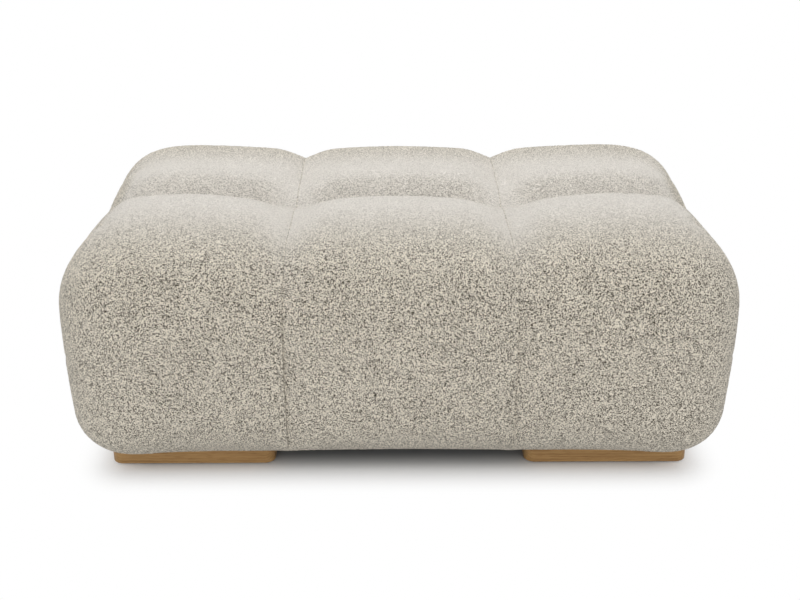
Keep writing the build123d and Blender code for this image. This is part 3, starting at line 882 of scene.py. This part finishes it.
def spun_bond_group():
    """Fine fibres laid every way and pressed together at rows of small dots."""
    tree, place, dot_step, out = new_group("Spun Bond", "Dot Step", 0.0016, ("Height", "Fibres"))
    per_metre = math_node(tree, "DIVIDE", 1.0, dot_step)
    fibres = noise_node(tree, place, math_node(tree, "MULTIPLY", per_metre, 1.6), 3.0, 2.5)
    strands = ramp_node(tree, fibres, 0.35, 0.65)
    dot = ramp_node(tree, cell_node(tree, place, per_metre, 0.12), 0.22, 0.34, 0.0, 1.0)
    height = math_node(tree, "MULTIPLY", dot, math_node(tree, "MULTIPLY_ADD", strands, 0.5, 0.5))
    feed(tree, out, {"Height": height, "Fibres": strands})
    return tree


def spun_bond_material(name, colour, group):
    """A spun-bond cloth of one colour."""
    material, tree, place = new_material(name)
    cloth = place_group(tree, group, {"Vector": place})
    shade = mix_colours(tree, cloth.outputs["Fibres"], scaled(colour, 0.72), colour)
    height = cloth.outputs["Height"]
    return finish_shader(material, shade, height, strength=0.6, depth=0.0003, inputs={
        "Roughness": ramp_node(tree, height, 0.0, 1.0, 0.5, 0.85), "Specular IOR Level": 0.35})


def webbing_material(settings, group, across, straps):
    """Elastic webbing with two stripes along each strap, and painted shade where its threads lie low.
    """
    material, tree, place = new_material(f"Webbing {'XY'[1 - across]}")
    weave = place_group(tree, group, {"Vector": place, "Thread": settings.thread})
    side = add_node(tree, "ShaderNodeSeparateXYZ", {0: place}).outputs[across]
    stripe = 0.0
    for strap in straps:
        away = math_node(tree, "ABSOLUTE", math_node(tree, "SUBTRACT", side, strap))
        edge = math_node(tree, "COMPARE", away, STRIPE_PLACE, STRIPE_HALF_WIDTH)
        stripe = math_node(tree, "MAXIMUM", edge, stripe)
    thread = mix_colours(tree, stripe, settings.webbing_colour, settings.stripe_colour)
    height = weave.outputs["Height"]
    # Painted shade: the threads are darkened where the weave lies low and a little lightened on their
    # tops.
    shade = vector_node(tree, "SCALE", {
        0: thread, "Scale": ramp_node(tree, height, 0.0, 1.0, 0.45, 1.05)})
    return finish_shader(material, shade, height, strength=0.8, depth=0.0005, inputs={
        "Roughness": 0.8, "Specular IOR Level": 0.3})


def divide_by_planes(piece, steps):
    """Cuts a piece by evenly spaced planes, one step for each axis and none where it is zero."""
    points = points_of(piece)
    low, high = points.min(axis=0), points.max(axis=0)
    edit(piece)
    for axis, step in enumerate(steps):
        if not step:
            continue
        for place in np.linspace(low[axis], high[axis], int((high[axis] - low[axis]) / step) + 2)[1:-1]:
            point, across = [0, 0, 0], [0, 0, 0]
            point[axis], across[axis] = float(place), 1
            bpy.ops.mesh.select_all(action="SELECT")
            bpy.ops.mesh.bisect(plane_co=point, plane_no=across)
    leave_edit()


def press_thin(piece, share):
    """Brings a flat piece's two faces nearer to its middle height, by a share for each point."""
    points = points_of(piece)
    middle = (points[:, 2].min() + points[:, 2].max()) / 2
    points[:, 2] = middle + (points[:, 2] - middle) * share
    place_points(piece, points)


def half_area(piece):
    """The flat area of a sheet whose mesh is closed, so has two layers."""
    return float(read(piece.data.polygons, "area", 1).sum()) / 2


class OTTOMAN_OT_webbing(bpy.types.Operator):
    """Make the elastic webbing over the frame"""

    bl_idname = "ottoman.webbing"
    bl_label = "Webbing"

    def execute(self, context):
        settings = context.scene.ottoman_cloth
        weave = plain_weave_group()
        for node, across, straps, rails in (
                ("webbing_long", 1, LONG_STRAPS, ("top_rail_left", "top_rail_right")),
                ("webbing_cross", 0, CROSS_STRAPS, ("top_rail_front", "top_rail_back"))):
            piece = copy_of_node(node, f"woven_{node}")
            steps = [0.02, 0.02, 0]
            steps[across] = 0.005
            divide_by_planes(piece, steps)
            points = points_of(piece)
            away = np.min(np.abs(points[:, across, None] - np.array(straps)), axis=1)
            press_thin(piece, 0.9 - 0.5 * smooth_step(away, *STRAP_EDGE))
            finish_piece(piece, node, webbing_material(settings, weave, across, straps))
        return {"FINISHED"}


class OTTOMAN_OT_linings(bpy.types.Operator):
    """Make the deck cloth, the seam strips and the dust cover"""

    bl_idname = "ottoman.linings"
    bl_label = "Linings"

    def execute(self, context):
        settings, covers = context.scene.ottoman_cloth, context.scene.ottoman_covers
        bond = spun_bond_group()
        lining = spun_bond_material("Lining Cloth", settings.lining_colour, bond)
        black = spun_bond_material("Dust Cover Cloth", settings.dust_colour, bond)

        deck = copy_of_node("deck_cloth", "lining_deck_cloth")
        divide_by_planes(deck, (0.02, 0.02, 0))
        press_thin(deck, 0.6)
        displace(deck, cloud_texture("Cloth Wrinkles", 0.035, depth=2), 0.0004, direction="Z")
        low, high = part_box("deck_cloth")
        finish_piece(deck, "deck_cloth", lining)

        for side, length in (("left", 0.692), ("right", 0.692), ("long", 1.053)):
            node = f"seam_strips_{side}"
            strip = copy_of_node(node, f"sewn_{node}")
            divide_by_planes(strip, (0.02, 0.02, 0.02))
            deepen_seams(strip, covers)
            deepen_long_seam(strip, covers)
            low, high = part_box(node)
            finish_piece(strip, node, lining)
            half_area(strip)

        dust = copy_of_node("dust_cover", "black_dust_cover")
        divide_by_planes(dust, (0.015, 0.015, 0))
        points = points_of(dust)
        low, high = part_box("dust_cover")
        inside = np.minimum(high.x - np.abs(points[:, 0]), high.y - np.abs(points[:, 1]))
        press_thin(dust, 1 - 0.45 * smooth_step(inside, *DUST_HEM))
        points = points_of(dust)
        along, deep = np.abs(points[:, 0]), np.abs(points[:, 1])
        past_rail = np.abs(along - HALF_WIDTH / 3) - CROSS_RAIL_HALF
        from_rails = np.minimum(np.minimum(BAY_END - along, past_rail), BAY_HALF_DEPTH - deep)
        points[:, 2] -= settings.dust_sag * smooth_step(from_rails, 0.0, SAG_REACH)
        place_points(dust, points)
        finish_piece(dust, "dust_cover", black)
        return {"FINISHED"}


# Tuft ties

STRAND_RADIUS, STRAND_OFFSET = 0.0009, 0.001
KNOT_RADIUS, KNOT_YARN_RADIUS = 0.0028, 0.0015
# The height above the twine's lower end, and the tilt, of each turn of the knot.
KNOT_TURNS = ((0.0021, 0.12), (0.0049, -0.12))


def twine_material(settings):
    """Waxed nylon twine: fine fibres that turn with the strands."""
    material, tree, place = new_material("Waxed Twine")
    fibres = noise_node(tree, mapped(tree, place, Scale=(1.0, 1.0, 0.25)), 2600.0, 2.0)
    share = ramp_node(tree, fibres, 0.35, 0.65)
    shade = mix_colours(tree, share, scaled(settings.twine_colour, 0.6), settings.twine_colour)
    return finish_shader(material, shade, share, strength=0.4, depth=0.0002, inputs={
        "Roughness": 0.5, "Specular IOR Level": 0.4})


def twisted_tie(node, settings):
    """Three strands laid round each other, with a double knot under the washer."""
    low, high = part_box(node)
    centre = (low + high) / 2
    length = high.z - low.z - 0.001
    bpy.ops.object.select_all(action="DESELECT")
    bpy.ops.mesh.primitive_cylinder_add(
        vertices=8, radius=STRAND_RADIUS, depth=length, end_fill_type="TRIFAN", location=(0, 0, 0))
    piece = bpy.context.object
    piece.name = piece.data.name = f"twine_{node}"
    edit(piece)
    bpy.ops.transform.translate(value=(STRAND_OFFSET, 0, 0))
    leave_edit()
    divide_by_planes(piece, (0, 0, settings.twine_lay / 8))
    edit(piece)
    for _ in range(2):
        bpy.ops.mesh.duplicate()
        bpy.ops.transform.rotate(value=2 * math.pi / 3, orient_axis="Z", center_override=(0, 0, 0))
    leave_edit()
    turns = 2 * math.pi * length / settings.twine_lay
    apply_modifier(piece, "SIMPLE_DEFORM", deform_method="TWIST", deform_axis="Z", angle=turns)
    edit(piece)
    bpy.ops.transform.translate(value=centre)
    bpy.ops.mesh.select_all(action="DESELECT")
    for height, tilt in KNOT_TURNS:
        bpy.ops.mesh.primitive_torus_add(
            major_segments=20, minor_segments=10, major_radius=KNOT_RADIUS,
            minor_radius=KNOT_YARN_RADIUS, location=(centre.x, centre.y, low.z + height),
            rotation=(tilt, 0, 0))
    leave_edit()
    bpy.ops.object.shade_smooth()
    return piece


class OTTOMAN_OT_ties(bpy.types.Operator):
    """Make the two twines that hold the tufts down"""

    bl_idname = "ottoman.ties"
    bl_label = "Tuft Ties"

    def execute(self, context):
        settings = context.scene.ottoman_cloth
        material = twine_material(settings)
        for node in ("tuft_tie_left", "tuft_tie_right"):
            finish_piece(twisted_tie(node, settings), node, material)
        return {"FINISHED"}


# Feet and their pads, timber and fastenings

# How far apart a Wave texture's rings lie at a scale of one.
RING_STEP = 0.314
PLY_THICKNESS = 0.0014


def wood_grain_group():
    """Growth rings, streaks and pores of a board whose grain runs along X."""
    tree, place, spacing, out = new_group(
        "Wood Grain", "Ring Spacing", 0.003, ("Rings", "Streaks", "Pores"))
    heart = mapped(tree, place, Location=(0.0, 0.16, 0.09), Scale=(0.05, 1.0, 1.0))
    rings = add_node(tree, "ShaderNodeTexWave", {
        "Vector": heart, "Scale": math_node(tree, "DIVIDE", RING_STEP, spacing), "Distortion": 3.0,
        "Detail": 2.0, "Detail Scale": 0.4}, wave_type="RINGS", rings_direction="X")
    streaks = noise_node(tree, mapped(tree, place, Scale=(7.0, 160.0, 160.0)), 1.0, 3.0)
    pores = noise_node(tree, mapped(tree, place, Scale=(60.0, 1100.0, 1100.0)), 1.0, 0.0)
    feed(tree, out, {
        "Rings": rings.outputs["Fac"], "Streaks": ramp_node(tree, streaks, 0.3, 0.7),
        "Pores": ramp_node(tree, pores, 0.6, 0.72)})
    return tree


def timber_material(name, light, dark, group, axis, spacing, ring_share, pore_share, roughness):
    """Planed timber: rings and streaks between its light and dark colour, with fine pores."""
    material, tree, place = new_material(f"{name} {'XYZ'[axis]}")
    turn = ((0.0, 0.0, 0.0), (0.0, 0.0, math.pi / 2), (0.0, math.pi / 2, 0.0))[axis]
    along = mapped(tree, place, Rotation=turn)
    grain = place_group(tree, group, {"Vector": along, "Ring Spacing": spacing})
    share = math_node(tree, "MULTIPLY", grain.outputs["Rings"], ring_share)
    share = math_node(tree, "MULTIPLY_ADD", grain.outputs["Streaks"], 0.8 - ring_share, share)
    pores = math_node(tree, "MULTIPLY", grain.outputs["Pores"], pore_share)
    share = math_node(tree, "ADD", share, pores, clamp=True)
    shade = mix_colours(tree, share, light, dark)
    return finish_shader(material, shade, share, strength=0.25, depth=-0.0004, inputs={
        "Roughness": ramp_node(tree, share, 0.0, 1.0, roughness, roughness + 0.14),
        "Specular IOR Level": 0.3})


def plywood_material(settings, group):
    """Birch plywood: face grain along X and a dark and a light ply in turn on its edges."""
    material, tree, place = new_material("Plywood")
    grain = place_group(tree, group, {"Vector": place, "Ring Spacing": 0.012})
    height = add_node(tree, "ShaderNodeSeparateXYZ", {0: place}).outputs[2]
    plies = math_node(tree, "FLOOR", math_node(tree, "DIVIDE", height, PLY_THICKNESS))
    ply = math_node(tree, "ABSOLUTE", math_node(tree, "MODULO", plies, 2.0))
    streaks = math_node(tree, "MULTIPLY", grain.outputs["Streaks"], 0.3)
    share = math_node(tree, "MULTIPLY_ADD", ply, 0.65, streaks)
    shade = mix_colours(tree, share, settings.ply_light, settings.ply_dark)
    return finish_shader(material, shade, share, strength=0.3, depth=0.0003, inputs={
        "Roughness": ramp_node(tree, share, 0.0, 1.0, 0.6, 0.8), "Specular IOR Level": 0.3})


def hardboard_material(settings):
    """Pressed brown fibres, flecked light and dark."""
    material, tree, place = new_material("Hardboard")
    fine = ramp_node(tree, noise_node(tree, place, 420.0, 3.0, 1.5), 0.35, 0.65)
    clouds = noise_node(tree, place, 18.0, 2.0)
    share = math_node(tree, "MULTIPLY_ADD", clouds, 0.4, math_node(tree, "MULTIPLY", fine, 0.6))
    shade = mix_colours(tree, share, settings.board_light, settings.board_dark)
    return finish_shader(material, shade, fine, strength=0.3, depth=0.0002, inputs={
        "Roughness": ramp_node(tree, share, 0.2, 0.8, 0.5, 0.7), "Specular IOR Level": 0.35})


def felt_material(settings):
    """Dense dark felt with short matted fibres."""
    material, tree, place = new_material("Felt")
    share = ramp_node(tree, noise_node(tree, place, 700.0, 4.0, 3.0), 0.35, 0.65)
    shade = mix_colours(tree, share, settings.felt_colour, scaled(settings.felt_colour, 1.9))
    return finish_shader(material, shade, share, strength=0.7, depth=0.0004, inputs={
        "Roughness": 0.98, "Specular IOR Level": 0.1, "Sheen Weight": 0.3})


def zinc_material():
    """Zinc-plated steel with faint crystals and fine scratches."""
    material, tree, place = new_material("Zinc Plated Steel")
    crystals = cell_node(tree, place, 600.0)
    scratches = noise_node(tree, mapped(tree, place, Scale=(300.0, 4000.0, 4000.0)), 1.0, 1.0)
    scratch = ramp_node(tree, scratches, 0.58, 0.7)
    shade = mix_colours(tree, crystals, linear((206, 204, 198)), linear((176, 176, 174)))
    return finish_shader(material, shade, scratch, strength=0.2, depth=-0.0001, inputs={
        "Roughness": ramp_node(tree, scratch, 0.0, 1.0, 0.3, 0.55), "Metallic": 1.0})


def dress_node(node, material):
    """Gives a CAD node whose shape is right its finish."""
    for slot in NODES[node].material_slots:
        slot.material = material


def longest_axis(node):
    low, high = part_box(node)
    return max(range(3), key=lambda axis: (high - low)[axis])


class OTTOMAN_OT_pads(bpy.types.Operator):
    """Make the felt pads under the feet"""

    bl_idname = "ottoman.pads"
    bl_label = "Felt Pads"

    def execute(self, context):
        material = felt_material(context.scene.ottoman_cloth)
        fuzz = cloud_texture("Felt Fuzz", 0.004)
        for quarter in QUARTERS:
            node = f"foot_pad_{quarter}"
            piece = copy_of_node(node, f"felt_{node}")
            apply_modifier(piece, "BEVEL", width=0.0005, segments=2, limit_method="ANGLE")
            divide_by_planes(piece, (0.012, 0.012, 0))
            displace(piece, fuzz, 0.0002, middle=1.0)
            finish_piece(piece, node, material)
        return {"FINISHED"}


class OTTOMAN_OT_timber(bpy.types.Operator):
    """Finish the oak feet, the pine frame, the plywood plates and the hardboard panels"""

    bl_idname = "ottoman.timber"
    bl_label = "Timber"

    def execute(self, context):
        settings = context.scene.ottoman_timber
        grain = wood_grain_group()
        oak = timber_material(
            "Oiled Oak", settings.oak_light, settings.oak_dark, grain, 0, settings.ring_spacing,
            ring_share=0.3, pore_share=0.45, roughness=0.42)
        pine = [timber_material(
            "Pine", settings.pine_light, settings.pine_dark, grain, axis, settings.ring_spacing * 1.5,
            ring_share=0.6, pore_share=0.1, roughness=0.58) for axis in range(3)]
        plywood = plywood_material(settings, grain)
        hardboard = hardboard_material(settings)
        for node in NODES:
            if "rail" in node or "post" in node:
                dress_node(node, pine[longest_axis(node)])
            elif node.startswith("side_panel"):
                dress_node(node, hardboard)
        for quarter in QUARTERS:
            dress_node(f"foot_{quarter}", oak)
        dress_node("foot_plates", plywood)
        return {"FINISHED"}


class OTTOMAN_OT_fastenings(bpy.types.Operator):
    """Finish the screws, staples and washers"""

    bl_idname = "ottoman.fastenings"
    bl_label = "Fastenings"

    def execute(self, context):
        zinc = zinc_material()
        for node in ("foot_screws", "frame_screws", "dust_cover_staples", "tie_washers"):
            dress_node(node, zinc)
        return {"FINISHED"}


# Stage

WHITE = (1.0, 1.0, 1.0, 1.0)
# How far inside the footprint a shade starts, and over what distance it ends. The first is the whole
# soft shadow, the second a painted shadow right under the ottoman.
SHADOW = (0.1, 0.105)
PAINTED_SHADOW_UNDER = (0.135, 0.07)


def floor_material():
    """A white floor that keeps the soft shadow, has a painted shadow right under the ottoman, and glows
    plain white elsewhere in the picture.
    """
    material, tree, place = new_material("White Floor")
    tree.nodes.remove(tree.nodes["Principled BSDF"])
    lit = add_node(tree, "ShaderNodeBsdfDiffuse", {"Color": (0.7, 0.7, 0.7, 1.0)})
    # Painted shadow: in the picture the floor's colour is darker right under the ottoman.
    under = mix_colours(tree, past_footprint(tree, place, *PAINTED_SHADOW_UNDER), (0.22, 0.22, 0.22), WHITE)
    seen = add_node(tree, "ShaderNodeBsdfDiffuse", {"Color": under})
    glow = add_node(tree, "ShaderNodeEmission", {"Color": WHITE, "Strength": 1.0})
    bright = mix_shaders(tree, past_footprint(tree, place, *SHADOW), seen, glow)
    choice = mix_shaders(tree, picture_rays(tree), lit, bright)
    feed(tree, tree.nodes["Material Output"], {"Surface": choice.outputs[0]})
    return material


def mix_shaders(tree, share, first, second):
    """A node that mixes the shaders of two others."""
    return add_node(tree, "ShaderNodeMixShader", {
        0: share, 1: first.outputs[0], 2: second.outputs[0]})


def past_footprint(tree, place, inset, reach):
    """How far the floor is past the ottoman's footprint, from 0 inside the inset to 1 at the reach."""
    edge = (HALF_WIDTH - inset, HALF_DEPTH - inset, 0.0)
    past = vector_node(tree, "SUBTRACT", {0: vector_node(tree, "ABSOLUTE", {0: place}), 1: edge})
    past = vector_node(tree, "MAXIMUM", {0: past, 1: (0.0, 0.0, 0.0)})
    away = add_node(tree, "ShaderNodeVectorMath", {0: past}, operation="LENGTH").outputs["Value"]
    return ramp_node(tree, away, 0.0, reach)


def picture_rays(tree):
    """One for the rays that show the background, in the picture, in gloss and through glass."""
    path = tree.nodes.new("ShaderNodeLightPath")
    seen = math_node(tree, "MAXIMUM", path.outputs["Is Camera Ray"], path.outputs["Is Glossy Ray"])
    return math_node(tree, "MAXIMUM", seen, path.outputs["Is Transmission Ray"])


def add_lamp(scene, name, size, place, power):
    """Hangs a soft rectangular lamp that faces the ottoman."""
    lamp = bpy.data.lights.new(name, "AREA")
    lamp.shape = "RECTANGLE"
    lamp.size, lamp.size_y = size
    lamp.energy = power
    hung = bpy.data.objects.new(name, lamp)
    hung.location = place
    hung.rotation_euler = (Vector((0, 0, 0.2)) - hung.location).to_track_quat("-Z", "Y").to_euler()
    scene.collection.objects.link(hung)


class OTTOMAN_OT_stage(bpy.types.Operator):
    """Make the floor, the light and the camera"""

    bl_idname = "ottoman.stage"
    bl_label = "Stage"

    def execute(self, context):
        scene = context.scene
        settings = scene.ottoman_stage
        bpy.ops.object.select_all(action="DESELECT")
        bpy.ops.mesh.primitive_grid_add(
            x_subdivisions=8, y_subdivisions=8, size=2 * settings.floor_reach, location=(0, 0, 0))
        floor = context.object
        floor.name = "floor"
        floor.data.materials.append(floor_material())

        add_lamp(scene, "overhead_lamp", (3.0, 2.2), (0.0, 1.1, 2.5), settings.lamp_power)
        add_lamp(scene, "front_lamp", (3.4, 1.6), (0.0, -3.2, 1.1), settings.fill_power)

        scene.world = bpy.data.worlds.new("White Room")
        scene.world.use_nodes = True
        tree = scene.world.node_tree
        strength = add_node(
            tree, "ShaderNodeMix", {0: picture_rays(tree), 2: settings.world_strength, 3: 1.0})
        feed(tree, tree.nodes["Background"], {"Color": WHITE, "Strength": strength.outputs[0]})

        lens = bpy.data.cameras.new("Camera")
        lens.lens = settings.focal_length
        camera = bpy.data.objects.new("camera", lens)
        camera.location = settings.camera_place
        camera.rotation_euler = (math.pi / 2 - settings.camera_pitch, 0, -settings.camera_turn)
        scene.collection.objects.link(camera)
        scene.camera = camera
        scene.view_settings.view_transform = "Standard"
        return {"FINISHED"}


class OTTOMAN_PT_sidebar(bpy.types.Panel):
    """Lists the ottoman's pieces and their settings"""

    bl_label = "Ottoman"
    bl_idname = "OTTOMAN_PT_sidebar"
    bl_space_type = "VIEW_3D"
    bl_region_type = "UI"
    bl_category = "Ottoman"

    def draw(self, context):
        layout = self.layout
        for group in GROUPS:
            settings = getattr(context.scene, group)
            box = layout.box()
            box.label(text=group.replace("_", " ").title())
            for key in settings.bl_rna.properties.keys()[2:]:
                box.prop(settings, key)
        for operator in OPERATORS:
            layout.operator(operator.bl_idname)


OPERATORS = (
    OTTOMAN_OT_covers, OTTOMAN_OT_foam, OTTOMAN_OT_webbing, OTTOMAN_OT_linings, OTTOMAN_OT_ties,
    OTTOMAN_OT_pads, OTTOMAN_OT_timber, OTTOMAN_OT_fastenings, OTTOMAN_OT_stage)
GROUPS = {
    "ottoman_covers": OttomanCoverSettings,
    "ottoman_foam": OttomanFoamSettings,
    "ottoman_cloth": OttomanClothSettings,
    "ottoman_timber": OttomanTimberSettings,
    "ottoman_stage": OttomanStageSettings,
}


def register():
    for group in GROUPS.values():
        bpy.utils.register_class(group)
    for name, group in GROUPS.items():
        setattr(bpy.types.Scene, name, PointerProperty(type=group))
    for cls in (*OPERATORS, OTTOMAN_PT_sidebar):
        bpy.utils.register_class(cls)


def unregister():
    for cls in reversed((*OPERATORS, OTTOMAN_PT_sidebar)):
        bpy.utils.unregister_class(cls)
    for name, group in GROUPS.items():
        delattr(bpy.types.Scene, name)
        bpy.utils.unregister_class(group)


def main():
    register()
    bpy.ops.ottoman.covers()
    bpy.ops.ottoman.foam()
    bpy.ops.ottoman.webbing()
    bpy.ops.ottoman.linings()
    bpy.ops.ottoman.ties()
    bpy.ops.ottoman.pads()
    bpy.ops.ottoman.timber()
    bpy.ops.ottoman.fastenings()
    bpy.ops.ottoman.stage()


if __name__ == "__main__":
    main()
